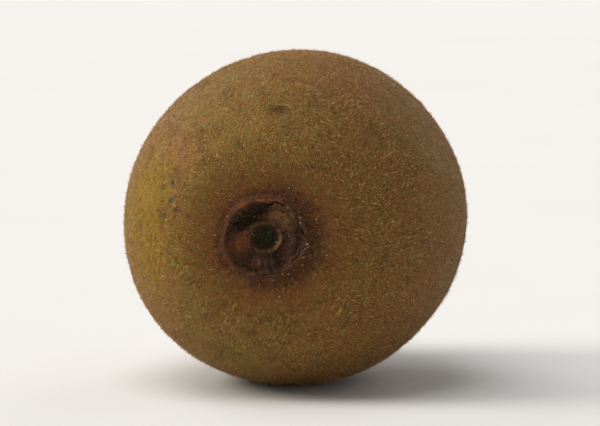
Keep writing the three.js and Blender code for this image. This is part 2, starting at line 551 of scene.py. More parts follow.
    def finish(self, constants: dict[str, object], **varying: Expression) -> bpy.types.Material:
        """Sets what is the same all over on the shader itself and links what varies.

        Args:
            constants: Values by socket name.
            varying: Expressions by socket name, with an underscore for a space.

        Returns:
            The finished material.
        """
        for name, value in constants.items():
            self.shader.inputs[name].default_value = value
        for name, value in varying.items():
            self.feed(self.shader.inputs[name.replace("_", " ")], value)
        return self.material


# ---- The fruit's form ---------------------------------------------------------------------------


@dataclass(frozen=True)
class Mound:
    """A round mound, or a hollow where its height is negative: level inside start, gone outside end."""

    height: float
    start: float
    end: float

    def at(self, radius: np.ndarray) -> np.ndarray:
        """The height at a radius."""
        return self.height * (1.0 - smooth(radius, self.start, self.end))


@dataclass(frozen=True)
class Ridge:
    """A round-topped ridge along a circle: height times exp(-((r - radius) / width)^2)."""

    height: float
    radius: float
    width: float

    def at(self, radius: np.ndarray) -> np.ndarray:
        """The height at a radius."""
        return self.height * np.exp(-(((radius - self.radius) / self.width) ** 2))


@dataclass(frozen=True)
class Wave:
    """A wave round the axis: share times cos(count * angle + phase + twist * place along the axis)."""

    count: int
    share: float
    phase: float
    twist: float = 0.0

    def at(self, angle: np.ndarray, along: np.ndarray | float = 0.0) -> np.ndarray:
        """The wave's value at an angle and a place along the axis."""
        return self.share * np.cos(self.count * angle + self.phase + self.twist * along)


def sector(angle: np.ndarray, centre: float, spread: float) -> np.ndarray:
    """1 round the angle centre, falling off at about spread: exp(-(off / spread)^4)."""
    off = np.arctan2(np.sin(angle - centre), np.cos(angle - centre))
    return np.exp(-((off / spread) ** 4))


@dataclass(frozen=True)
class FruitForm:
    """The CAD's form in millimetres, by the polar angle t and the angle round the axis.

    t is 0 at the stem pole and pi at the flower pole; the angle runs from +X towards +Z.
    """

    length: float = 65.6
    width: float = 53.6
    height: float = 52.9
    stem_fullness: float = 0.035
    bluntness: float = 0.13
    bow: float = 0.5
    rest_depth: float = 0.35
    girth_waves: tuple[Wave, ...] = (
        Wave(2, 0.006, -1.2),
        Wave(3, 0.0045, 1.1, 0.8),
        Wave(5, 0.003, -0.7, -1.3),
    )
    hollow: Mound = Mound(-2.5, 5.4, 16.5)
    floor: Mound = Mound(-1.0, 4.7, 6.0)
    lip: Ridge = Ridge(0.8, 6.15, 0.5)
    lip_waves: tuple[Wave, ...] = (Wave(3, 0.22, 0.6), Wave(8, 0.15, 2.0))
    scar_rim: Ridge = Ridge(0.8, 2.4, 0.45)
    scar_pit: Mound = Mound(-0.9, 1.1, 2.2)
    sepal: Ridge = Ridge(0.75, 4.35, 0.95)
    sepal_spread: float = math.radians(25)
    pocket: Ridge = Ridge(-0.8, 4.3, 0.95)
    pocket_spread: float = math.radians(38)
    sepal_count: int = 5
    lost_sepal_angle: float = math.radians(125)
    button_strays: tuple[Wave, ...] = (Wave(2, 0.2, -0.5), Wave(5, 0.1, 1.3))
    stray_fade: Mound = Mound(1.0, 7.0, 14.0)
    boss: Mound = Mound(1.3, 3.2, 8.2)
    pit: Mound = Mound(-1.1, 1.4, 3.0)
    pucker: Ridge = Ridge(0.14, 4.0, 1.3)
    pucker_wave: Wave = Wave(9, 1.0, 0.0)

    @property
    def mean_radius(self) -> float:
        """Half the mean of width and height."""
        return (self.width + self.height) / 4

    @property
    def sepal_angles(self) -> list[float]:
        """Angles of the sepals that are left, evenly spread from the lost one."""
        return [self.lost_sepal_angle + i * TAU / self.sepal_count for i in range(1, self.sepal_count)]

    def radius(self, t: np.ndarray) -> np.ndarray:
        """Radius of the plain ovoid: mean radius times sin t times a fullness that grows to both ends."""
        cosine = np.cos(t)
        return self.mean_radius * np.sin(t) * (1 + self.stem_fullness * cosine + self.bluntness * cosine**2)

    def stem_t(self, radius: np.ndarray | float) -> np.ndarray:
        """The polar angle at the stem end where the ovoid has a small radius."""
        return np.arcsin(radius / (self.mean_radius * (1 + self.bluntness + self.stem_fullness)))

    def flower_t(self, radius: np.ndarray | float) -> np.ndarray:
        """The polar angle at the flower end where the ovoid has a small radius."""
        return math.pi - np.arcsin(radius / (self.mean_radius * (1 + self.bluntness - self.stem_fullness)))

    def sepals_at(self, angle: np.ndarray) -> np.ndarray:
        """How much of a sepal lies at an angle."""
        return sum(sector(angle, centre, self.sepal_spread) for centre in self.sepal_angles)

    def lip_at(self, radius: np.ndarray, angle: np.ndarray) -> np.ndarray:
        """Height of the ragged lip round the button."""
        return self.lip.at(radius) * (1 + sum(wave.at(angle) for wave in self.lip_waves))

    def stem_relief(self, radius: np.ndarray, angle: np.ndarray) -> np.ndarray:
        """Height of the stem end above the ovoid: hollow, floor, lip, scar, sepals and pocket added up.

        Args:
            radius: Radii of the plain ovoid.
            angle: Angles round the axis.

        Returns:
            The heights.
        """
        round_about = sum(form.at(radius) for form in (self.hollow, self.floor, self.scar_rim, self.scar_pit))
        sepals = self.sepal.at(radius) * self.sepals_at(angle)
        pocket = self.pocket.at(radius) * sector(angle, self.lost_sepal_angle, self.pocket_spread)
        return round_about + self.lip_at(radius, angle) + sepals + pocket

    def flower_relief(self, radius: np.ndarray, angle: np.ndarray) -> np.ndarray:
        """Height of the flower end above the ovoid: boss, pit and the puckers round the pit."""
        puckers = self.pucker.at(radius) * self.pucker_wave.at(angle)
        return self.boss.at(radius) + self.pit.at(radius) + puckers

    def surface(self, t: np.ndarray, angle: np.ndarray) -> np.ndarray:
        """Points of the fruit as grown, before it is set down.

        The ovoid point (r cos, -half length cos t, r sin) is stretched to the oval girth, its ends
        get their relief along Y, and its middle is bowed towards +X.

        Args:
            t: Polar angles.
            angle: Angles round the axis.

        Returns:
            Points, shape (..., 3).
        """
        along = -np.cos(t)
        is_stem = along < 0
        radius = self.radius(t)
        relief = np.where(is_stem, -self.stem_relief(radius, angle), self.flower_relief(radius, angle))
        stray = smooth(radius, 0, self.lip.radius) * self.stray_fade.at(radius)
        stray = np.where(is_stem, stray * sum(wave.at(angle) for wave in self.button_strays), 0)
        girth = 1 + sum(wave.at(angle, along) for wave in self.girth_waves)
        reach = (radius + stray) * girth / (2 * self.mean_radius)
        x = self.width * reach * np.cos(angle) + self.bow * (1 - along**2)
        y = self.length / 2 * along + relief
        return np.stack([x, y, self.height * reach * np.sin(angle)], axis=-1)

    def directions(self, t: np.ndarray, angle: np.ndarray) -> tuple[np.ndarray, np.ndarray]:
        """Outward normals and tangents towards the flower end, from small differences of the surface.

        Args:
            t: Polar angles.
            angle: Angles round the axis.

        Returns:
            Unit normals and unit tangents, each of shape (..., 3).
        """
        nudge = 1e-4
        down = self.surface(t + nudge, angle) - self.surface(t - nudge, angle)
        around = self.surface(t, angle + nudge) - self.surface(t, angle - nudge)
        return unit(np.cross(down, around)), unit(down)


# ---- Finishes -----------------------------------------------------------------------------------


class Tone(Enum):
    """Tones of the fruit's hairs, from dark to light."""

    UMBER = "#3d2914"
    BARK = "#5a3d22"
    RUST = "#864720"
    TAN = "#97703d"
    STRAW = "#bf9a66"


@dataclass(frozen=True)
class HairFinish:
    """Dry, dull hair of one tone."""

    tone: Tone
    roughness: float = 0.7
    gloss: float = 0.15
    sheen: float = 0.5
    sheen_roughness: float = 0.4
    sheen_tint: str = "#e0c088"

    def material(self) -> bpy.types.Material:
        """Makes the hair's material.

        Returns:
            The material.
        """
        constants = {
            "Base Color": linear(self.tone.value),
            "Roughness": self.roughness,
            "Specular IOR Level": self.gloss,
            "Sheen Weight": self.sheen,
            "Sheen Roughness": self.sheen_roughness,
            "Sheen Tint": linear(self.sheen_tint),
        }
        return Graph(f"{self.tone.name.lower()}_hair").finish(constants)


@dataclass(frozen=True)
class StainOrShade:
    """A soft-edged oval of another tone or of painted shade in the stem button, set off from its centre in X
    and Z.

    The oval is stretch times as long as wide, and turn is the way it runs, from +X towards +Z.
    """

    code: str
    share: float
    offset: tuple[float, float]
    reach: float
    edge: float = 1.8
    stretch: float = 1.0
    turn: float = 0.0
    fray: float = 2.4
    depth: float = 1000.0

    def coat(self, graph: Graph, button: Place, ragged: Expression) -> Coat:
        """The oval as a coat of paint, drawn out so far along Y that its depth doesn't matter.

        Args:
            graph: The nodes to add to.
            button: Centre of the button in millimetres.
            ragged: Noise around 0 that breaks the oval's outline.

        Returns:
            The share it covers and its hex code.
        """
        centre = (button[0] + self.offset[0], button[1], button[2] + self.offset[1])
        here = graph.place(centre, (self.stretch, self.depth, 1.0), (0.0, -self.turn, 0.0))
        off = graph.distance(here) + self.fray * ragged
        return self.share * graph.step(off, self.reach + self.edge, self.reach), self.code


BUTTON_STAINS_AND_SHADE = (
    StainOrShade("#743b1f", 0.75, (-3.3, -0.5), 0.5, 1.6, 1.6, math.radians(30)),
    StainOrShade("#755633", 0.7, (2.2, 2.7), 1.2),
    StainOrShade("#251b16", 0.85, (0.9, -3.7), 1.0),
    StainOrShade("#3c2a20", 0.75, (-2.6, -3.2), 0.8),
    StainOrShade("#3b261c", 0.8, (4.9, -0.8), 1.1),
    # The pocket where a sepal is lost: painted shade, near black.
    StainOrShade("#1c1817", 0.92, (-2.5, 3.3), 1.0, 0.5, 2.5, math.radians(38)),
)


@dataclass(frozen=True)
class DriedFinish:
    """Dried plant matter such as sepals, styles and crumbs: fibres in a dark, a middle and a light tone.

    A fibre is as thick and as long along each axis as cell says, in millimetres. In the button the
    fibres follow the mesh's own "fibre" vector instead.
    """

    name: str
    dark: str
    middle: str
    light: str
    cell: Place = (1.0, 1.0, 1.0)
    roughness: float = 0.8
    gloss: float = 0.12
    relief: float = 0.16

    def material(self, button: Place | None = None) -> bpy.types.Material:
        """Makes the dried material from blotches, fibres and finer grit.

        Args:
            button: Centre of the stem button, for a part that shares the button's ovals of other tones and of
                painted shade.

        Returns:
            The material.
        """
        graph = Graph(self.name)
        here = graph.place()
        if button:
            along, ragged = graph.attribute("fibre", "Vector"), graph.raggedness(here)
            # The button's ovals, with the painted shade in the pocket of the lost sepal.
            stains_and_shade = [oval_patch.coat(graph, button, ragged) for oval_patch in BUTTON_STAINS_AND_SHADE]
        else:
            along, stains_and_shade = graph.place(cell=self.cell), []
        fibres = graph.grain(along, 1.0, 3.0, 0.6)
        blotch = graph.grain(here, 0.9)
        grit = graph.grain(here, 0.3, 4.0, 0.65)
        tint = graph.paint(
            linear(self.dark),
            (graph.step(blotch, 0.36, 0.62), self.middle),
            *stains_and_shade,
            (0.4 * graph.step(fibres, 0.5, 0.7), self.light),
            (0.5 * graph.step(fibres, 0.46, 0.34), self.dark),
            (0.6 * graph.step(grit, 0.5, 0.62), self.dark),
            (0.45 * graph.step(grit, 0.44, 0.36), self.light),
        )
        return graph.finish(
            {"Specular IOR Level": self.gloss},
            Base_Color=tint,
            Roughness=self.roughness + 0.2 * (blotch - 0.5),
            Normal=graph.bump(fibres + grit, self.relief),
        )


@dataclass(frozen=True)
class Spots:
    """One kind of small spot in the middles of scattered cells: its tone, its share and how it lies.

    Size is a cell's width in millimetres, reach a spot's radius in cells, and bare the share of the
    cells that have no spot.
    """

    code: str
    share: float
    size: float
    reach: float
    bare: float


@dataclass(frozen=True)
class SkinFinish:
    """Colours of the skin, its corky button and its marks, and where they are in millimetres.

    A fade holds two distances from the pole: where a coat is gone and where it is full. A band holds
    where a coat starts and ends, and how far it takes to fade out beyond. Each dot is held by its
    centre and its radius.
    """

    roughness: float = 0.68
    gloss: float = 0.1
    sheen: float = 0.03
    sheen_roughness: float = 0.5
    sheen_tint: str = "#c79a50"
    relief: float = 0.12
    olive: str = "#6a5620"
    tan: str = "#725226"
    umber: str = "#422f17"
    russet: str = "#5e3d1b"
    yellow: str = "#765e05"
    fleck: str = "#b39058"
    dot: str = "#39322c"
    # Painted shadow in the nick's dent.
    nick: str = "#3a2611"
    # The halo round the lip: painted shade on its hollow, widened on the right into a painted shadow.
    shaded_halo: str = "#3a251c"
    rust_ring: str = "#5c381d"
    cork: str = "#654726"
    cork_dark: str = "#38281a"
    cork_light: str = "#82633c"
    cork_red: str = "#6c3c1d"
    sepal: str = "#65432a"
    scar: str = "#24231d"
    pith: str = "#4d5040"
    # Painted highlight on the right of the scar's raised rim.
    scar_rim_highlight: str = "#80623c"
    # The lip's orange-brown crest, laid on with a painted highlight on its upper left.
    lip: str = "#86492a"
    pit: str = "#32241a"
    rust_specks: Spots = Spots("#8e4a20", 0.72, 0.66, 0.22, 0.25)
    rust_dashes: Spots = Spots("#8e4a20", 0.4, 1.7, 0.16, 0.35)
    dark_specks: Spots = Spots("#472d15", 0.72, 1.1, 0.1, 0.55)
    freckles: Spots = Spots("#8e4a20", 0.55, 1.25, 0.24, 0.2)
    halo_specks: Spots = Spots("#27181a", 0.8, 0.85, 0.26, 0.3)
    spot_cell: Place = (1.0, 1.35, 1.0)
    pile_turns: tuple[Place, ...] = ((0.5, 0.4, 0.3), (2.2, 1.1, 0.0), (1.2, 2.4, 1.6))
    pile_cell: Place = (0.17, 0.17, 0.9)
    wisp_cell: Place = (0.3, 0.3, 2.0)
    rust_fade: Span = (16.0, 8.0)
    freckle_fade: Span = (14.0, 8.5)
    # Where the halo's painted shade fades out and where it is full.
    shaded_halo_fade: Span = (8.8, 6.4)
    halo_speck_fade: Span = (8.5, 6.5)
    lip_fade: Span = (6.4, 6.1)
    button_fade: Span = (6.3, 5.8)
    # Where the painted shade on the lip's inner slope starts and is full.
    lip_foot_shade_fade: Span = (5.2, 6.0)
    # The scar's raised rim, painted dark all round as painted shade.
    scar_rim_shade_band: Band = (1.9, 2.9, 0.3)
    # Where the painted highlight lies across the scar's rim.
    scar_rim_highlight_band: Band = (2.1, 2.3, 0.18)
    scar_fade: Span = (2.3, 1.7)
    pith_fade: Span = (1.7, 1.0)
    flower_fade: Span = (8.0, 3.6)
    streak_fade: Span = (7.0, 4.0)
    pit_fade: Span = (3.6, 2.0)
    yellow_centre: Place = (-20.5, -25.5, 27.5)
    yellow_reach: Place = (6.5, 9.5, 14.0)
    dots: tuple[tuple[Place, float], ...] = (
        ((-15.1, -28.6, 35.8), 0.1),
        ((-15.4, -29.3, 33.7), 0.2),
        ((-17.0, -28.2, 33.0), 0.25),
        ((-15.7, -29.9, 31.1), 0.35),
        ((-17.7, -28.6, 29.4), 0.15),
        ((-14.7, -30.7, 29.8), 0.25),
        ((-16.7, -29.6, 28.7), 0.25),
    )
    nick_centre: Place = (0.9, -26.6, 45.1)
    nick_reach: Place = (1.5, 1.2, 0.8)

    def material(self, button: Place) -> bpy.types.Material:
        """Makes the skin's material.

        Args:
            button: Centre of the stem button in millimetres.

        Returns:
            The material, which reads the mesh's own measures of both ends.
        """
        return SkinGraph(self, button).dressed()


class SkinGraph(Graph):
    """The skin's nodes: golden olive-brown, mottled and speckled, with its button and its marks."""

    def __init__(self, look: SkinFinish, button: Place) -> None:
        """Makes the noises and measures that the parts of the look share.

        Args:
            look: The colours and the places of the marks.
            button: Centre of the stem button in millimetres.
        """
        super().__init__("kiwi_skin")
        self.look = look
        self.button = button
        self.here = self.place()
        self.radius = self.attribute("button_radius")
        self.rays = self.attribute("rays", "Vector")
        self.ragged = self.raggedness(self.here)
        self.mottle = self.grain(self.here, 4.2, 3.0)
        self.grit = self.grain(self.here, 0.4, 4.0, 0.6) - 0.5

    def dressed(self) -> bpy.types.Material:
        """Lays the parts of the look over each other and sets the shader.

        Returns:
            The material.
        """
        look = self.look
        tuft_shade = self.grain(self.here, 1.5, 3.0, 0.6)
        rust = self.scattered(look.rust_specks)
        inside = self.step(self.radius + 0.4 * self.ragged, *look.button_fade)
        tint = self.paint(
            self.ground(),
            # Painted shade between tufts of fuzz: dark umber patches about 1.5 mm across.
            (0.6 * self.step(tuft_shade, 0.5, 0.66), look.umber),
            (0.66 * self.strokes(), look.fleck),
            self.spotted(look.rust_dashes),
            (look.rust_specks.share * rust, look.rust_specks.code),
            self.spotted(look.dark_specks),
            *self.marks(),
            *self.shaded_halo(),
        )
        tint = self.blend(inside, tint, self.button_floor())
        fine = 0.5 * self.grit + 0.4 * rust + 0.3 * self.mottle
        return self.finish(
            {
                "Specular IOR Level": look.gloss,
                "Sheen Weight": look.sheen,
                "Sheen Roughness": look.sheen_roughness,
                "Sheen Tint": linear(look.sheen_tint),
            },
            Base_Color=self.paint(tint, self.lip_crest_and_highlight(), *self.flower_end()),
            Roughness=look.roughness + 0.3 * (self.mottle - 0.5) + 0.15 * inside,
            Normal=self.bump(fine + inside * self.grit, look.relief),
        )

    def scattered(self, kind: Spots) -> Expression:
        """Small spots: the middles of scattered cells, in a share of the cells, with gritty outlines.

        Args:
            kind: The size of the cells and spots, and how many cells are bare.

        Returns:
            1 on the spots and 0 between them.
        """
        off, chance = self.cells(self.place(cell=self.look.spot_cell), kind.size)
        spots = self.step(off + 1.1 * self.grit, kind.reach + 0.14, kind.reach - 0.06)
        return spots * self.step(chance, kind.bare, kind.bare + 0.2)

    def spotted(self, kind: Spots, where: Expression | None = None) -> Coat:
        """Small spots as a coat of paint.

        Args:
            kind: Their tone, their share and how they lie.
            where: How much they show at each place, or None if they show all over.

        Returns:
            The coat.
        """
        spots = self.scattered(kind)
        return kind.share * (spots if where is None else spots * where), kind.code

    def strokes(self) -> Expression:
        """Short pale strokes of matted fuzz, which run in a different direction in each broad area.

        Returns:
            How strong the strokes are.
        """
        area = self.grain(self.place(centre=(40.0, 0.0, 0.0)), 6.0, 1.0)
        runs = []
        for turn in self.look.pile_turns:
            pile = self.grain(self.place(cell=self.look.pile_cell, turn=turn), 1.0)
            wisps = self.grain(self.place(cell=self.look.wisp_cell, turn=turn), 1.0, 1.0)
            runs.append(self.step(pile, 0.5, 0.72) + 0.9 * self.step(wisps, 0.62, 0.74))
        first, second = self.step(area, 0.42, 0.5), self.step(area, 0.5, 0.58)
        return runs[0] * (1 - first) + runs[1] * (first - second) + runs[2] * second

    def ground(self) -> Expression:
        """Broad olive and tan areas, darker mottling, a redder side and a ragged yellow-green patch.

        Returns:
            The colour.
        """
        look = self.look
        broad = self.grain(self.here, 15.0, 1.5)
        side = self.axis(self.here, "X") + 10.0 * (self.mottle - 0.5)
        off = self.distance(self.place(look.yellow_centre, look.yellow_reach))
        blotch = self.grain(self.place(cell=(1.0, 1.0, 2.0)), 2.2, 4.0, 0.6)
        return self.paint(
            linear(look.olive),
            (self.step(broad, 0.38, 0.64), look.tan),
            (0.5 * self.step(self.mottle, 0.5, 0.72), look.umber),
            (0.6 * self.step(side, -9.0, 18.0), look.russet),
            (0.95 * self.step(off + 2.0 * (blotch - 0.5), 1.2, 0.5), look.yellow),
        )

    def marks(self) -> list[Coat]:
        """The blue-black dots beside the yellow patch, and the nick: painted shadow in its dent and a painted
        highlight on its upper edge.

        Returns:
            The coats.
        """
        look = self.look
        coats = []
        for centre, reach in look.dots:
            off = self.distance(self.place(centre)) + 1.2 * self.grit
            coats.append((0.75 * self.step(off, reach + 0.4, reach), look.dot))
        away = self.place(look.nick_centre, look.nick_reach)
        off = self.distance(away)
        # Painted shadow in the nick's dent.
        coats.append((0.65 * self.step(off + 1.5 * self.grit, 1.7, 0.4), look.nick))
        # Painted highlight along the nick's upper edge.
        crest = self.band(off + 0.5 * self.grit, 0.95, 1.15, 0.15)
        upper = self.step(self.axis(away, "Z") + 0.4 * self.axis(away, "X"), 0.3, 0.8)
        return [*coats, (0.35 * crest * upper, look.fleck)]

    def shaded_halo(self) -> list[Coat]:
        """The dark, speckled halo round the button, painted shade on the hollow round the lip and widened on
        its right into a painted shadow, and rusty skin beyond it.

        Returns:
            The coats.
        """
        look, radius, ragged = self.look, self.radius, self.ragged
        frayed = 3.0 * (self.grain(self.rays, 1.0, 3.0, 0.6) - 0.5)
        # How far a place lies right of the button, where the painted shade widens into a painted shadow.
        right = self.step(self.axis(self.place(self.button), "X"), -4.0, 6.0)
        rusty = self.step(radius + 3.0 * ragged, *look.freckle_fade)
        dark = self.step(radius - 1.5 * right + 3.0 * ragged, *look.halo_speck_fade)
        return [
            (0.6 * self.step(radius + 4.0 * ragged, *look.rust_fade), look.rust_ring),
            self.spotted(look.freckles, rusty),
            # Painted shade on the hollow round the lip, widened into a painted shadow on the right.
            (0.8 * self.step(radius - 0.9 * right + 2.6 * ragged + frayed, *look.shaded_halo_fade), look.shaded_halo),
            self.spotted(look.halo_specks, dark),
        ]

    def button_floor(self) -> Expression:
        """The button inside its lip: dark and light cork, sepals, patches of other tones, the scar with its
        pith, and painted shade and highlights.

        Returns:
            The colour.
        """
        look, radius, ragged = self.look, self.radius, self.ragged
        cork = self.grain(self.here, 0.75, 4.0, 0.6)
        rays = self.grain(self.rays, 0.7, 3.0, 0.6)
        woody = self.step(rays + 0.6 * (cork - 0.5), 0.5, 0.66) * self.step(radius, *look.pith_fade)
        off = self.place(self.button)
        # The right of the scar, where its rim gets a painted highlight.
        right = self.step(self.axis(off, "X") - 0.4 * self.axis(off, "Z") + 1.5 * ragged, 1.2, 2.3)
        rim = self.band(radius + 0.7 * ragged, *look.scar_rim_highlight_band)
        grains = self.grain(self.here, 0.32, 4.0, 0.65)
        return self.paint(
            linear(look.cork_dark),
            (self.step(cork, 0.36, 0.62), look.cork),
            (0.6 * self.attribute("sepal"), look.sepal),
            (0.6 * self.step(rays, 0.48, 0.36), look.cork_dark),
            # The button's ovals, with the painted shade in the pocket of the lost sepal.
            *(oval_patch.coat(self, self.button, ragged) for oval_patch in BUTTON_STAINS_AND_SHADE),
            (0.9 * self.step(radius + ragged, *look.scar_fade), look.scar),
            (0.6 * woody, look.pith),
            # Painted shade on the scar's raised rim, all round.
            (0.75 * self.band(radius, *look.scar_rim_shade_band), look.cork_dark),
            # Painted highlight on the right of the scar's rim.
            (0.65 * rim * right, look.scar_rim_highlight),
            (0.4 * self.step(grains, 0.45, 0.37), look.cork_light),
            (0.6 * self.step(grains, 0.51, 0.63), look.cork_dark),
            # Painted shade on the lip's inner slope, in the halo's colour.
            (0.6 * self.step(radius + 0.8 * ragged, *look.lip_foot_shade_fade), look.shaded_halo),
        )

    def lip_crest_and_highlight(self) -> Coat:
        """The lip's thin orange-brown crest, broken by gaps, with a painted highlight that makes it brightest
        on its upper left.

        Returns:
            The coat.
        """
        crest = self.step(self.attribute("lip") + 0.9 * self.grit, 0.78, 0.98)
        inner = self.step(self.radius, *self.look.lip_fade)
        gaps = self.grain(self.place(centre=(9.0, 0.0, 4.0)), 1.1, 3.0)
        broken = 0.1 + 0.9 * self.step(gaps, 0.42, 0.56)
        off = self.place(self.button)
        # The upper left of the lip, where the crest gets its painted highlight.
        above = self.step(0.89 * self.axis(off, "Z") - 0.45 * self.axis(off, "X"), 1.5, 4.6)
        return crest * inner * (0.1 + 0.7 * above * broken), self.look.lip

    def flower_end(self) -> list[Coat]:
        """The brown puckered skin round the dark pit of the flower end.

        Returns:
            The coats.
        """
        look, radius = self.look, self.attribute("flower_radius")
        streaks = self.step(self.grain(self.rays, 0.8, 3.0), 0.5, 0.66)
        return [
            (0.75 * self.step(radius + 3.0 * self.ragged, *look.flower_fade), look.umber),
            (0.9 * self.step(radius + 2.0 * self.ragged, *look.pit_fade), look.pit),
            (0.5 * streaks * self.step(radius, *look.streak_fade), look.cork_red),
        ]


@dataclass(frozen=True)
class FloorFinish:
    """A pale matt studio floor with a faint unevenness of tone."""

    pale: str = "#e0dfdd"
    soft: str = "#dbdad7"
    roughness: float = 0.8
    gloss: float = 0.2

    def material(self) -> bpy.types.Material:
        """Makes the floor's material.

        Returns:
            The material.
        """
        graph = Graph("studio_floor")
        tint = graph.paint(linear(self.pale), (graph.grain(graph.place(), 90.0), self.soft))
        return graph.finish({"Specular IOR Level": self.gloss, "Roughness": self.roughness}, Base_Color=tint)


# ---- The fruit's pieces -------------------------------------------------------------------------


def wear(piece: bpy.types.Object, material: bpy.types.Material) -> None:
    """Gives a piece its material, and lets it ride on the fruit and stand for the CAD's node.

    Args:
        piece: The piece's object.
        material: What it is made of.
    """
    piece.data.materials.append(material)
    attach(piece, BODY)
    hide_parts(NODE)
    piece.data.calc_loop_triangles()
    LOG.info("%s: %d triangles", piece.name, len(piece.data.loop_triangles))


@dataclass
class Roots:
    """Places on the skin where hairs or bits sit, with their normals and tangents."""

    points: np.ndarray
    normals: np.ndarray
    flow: np.ndarray

    def turned(self, turns: np.ndarray) -> np.ndarray:
        """The tangents turned about the normals: flow cos a + (normal x flow) sin a."""
        turns = turns[:, None]
        return self.flow * np.cos(turns) + np.cross(self.normals, self.flow) * np.sin(turns)

    def chosen(self, kept: np.ndarray) -> "Roots":
        """The roots with the given numbers."""
        return Roots(self.points[kept], self.normals[kept], self.flow[kept])


class End(Enum):
    """The fruit's two ends."""

    STEM = "stem"
    FLOWER = "flower"


@dataclass(frozen=True)
class Girdle:
    """A ring of skin at one end, which fades in over the inner radii and out over the outer ones.

    Unless they are given, it is a full disc and reaches to the fruit's middle.
    """

    end: End
    inner: Span = (-1.0, 0.0)
    outer: Span = (98.0, 99.0)

    def at(self, t: np.ndarray, radius: np.ndarray) -> np.ndarray:
        """How much of the ring lies at each place.

        Args:
            t: Polar angles.
            radius: The plain ovoid's radii there.

        Returns:
            The shares.
        """
        share = smooth(radius, *self.inner) * (1 - smooth(radius, *self.outer))
        return np.where((np.cos(t) > 0) == (self.end is End.STEM), share, 0)


